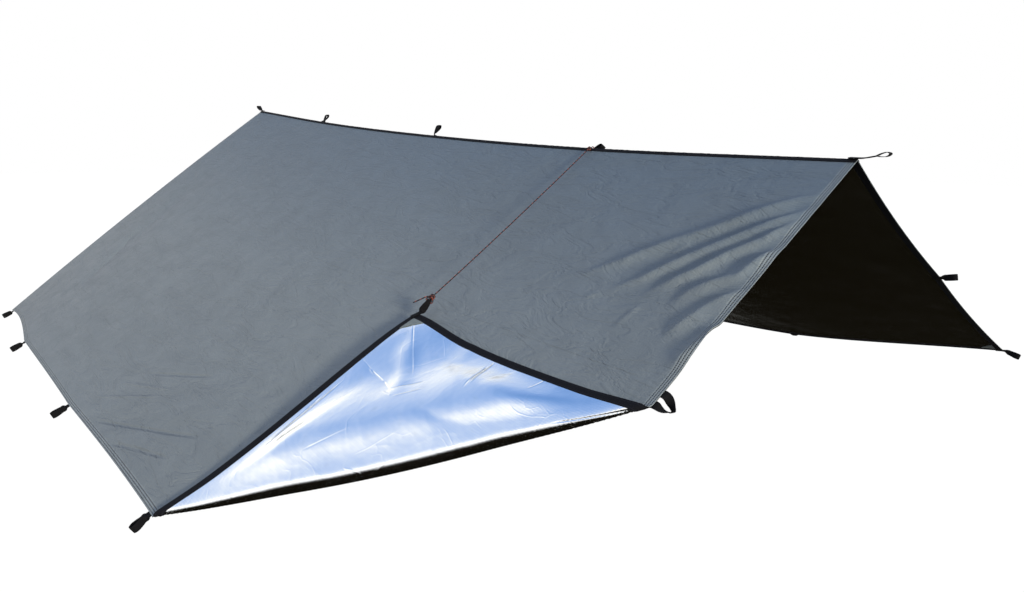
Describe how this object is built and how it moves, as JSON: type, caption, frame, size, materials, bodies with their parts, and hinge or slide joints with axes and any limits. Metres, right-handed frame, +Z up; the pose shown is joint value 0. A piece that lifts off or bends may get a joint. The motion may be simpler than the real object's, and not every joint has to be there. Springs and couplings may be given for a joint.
{
  "type": "insulated tarp",
  "caption": "Square tarp pitched over a ridge as a low shelter, with webbing loops along its edges and one corner turned over and tied up to show the silvered inside.",
  "frame": {"origin": "the middle of the ridge, at the middle of the cloth there, where a ridge line holds the tarp up", "axes": "+X along the ridge from the far end to the near end, +Y away from the side with the turned corner, +Z up"},
  "size_m": [3.1306, 2.6514, 0.9378],
  "materials": {
    "outer_cloth": "coated ripstop, grey-blue outside and metallised silver inside",
    "tape": "woven black tape",
    "patch_cloth": "coated ripstop",
    "webbing": "woven black webbing",
    "cord": "braided black cord with orange flecks"
  },
  "bodies": {
    "root": {"cloth": "outer_cloth", "ridge_tape": "tape", "tape_near": "tape", "tape_far": "tape", "tape_left": "tape", "tape_right": "tape", "patch_near_left": "patch_cloth", "patch_turned": "patch_cloth", "patch_far_right": "patch_cloth", "patch_far_left": "patch_cloth", "loop_ridge_far_end": "webbing", "loop_ridge_near_end": "webbing", "loop_ridge_1": "webbing", "loop_ridge_2": "webbing", "loop_ridge_3": "webbing", "loop_near_left": "webbing", "loop_near_1": "webbing", "loop_near_2": "webbing", "loop_near_3": "webbing", "loop_turned": "webbing", "loop_right_near": "webbing", "loop_right_far": "webbing", "loop_far_right": "webbing", "loop_far_1": "webbing", "loop_far_2": "webbing", "loop_far_3": "webbing", "loop_far_left": "webbing", "loop_left_near": "webbing", "loop_left_far": "webbing", "cord": "cord", "knot_low": "cord", "knot_high": "cord"}
  },
  "joints": []
}
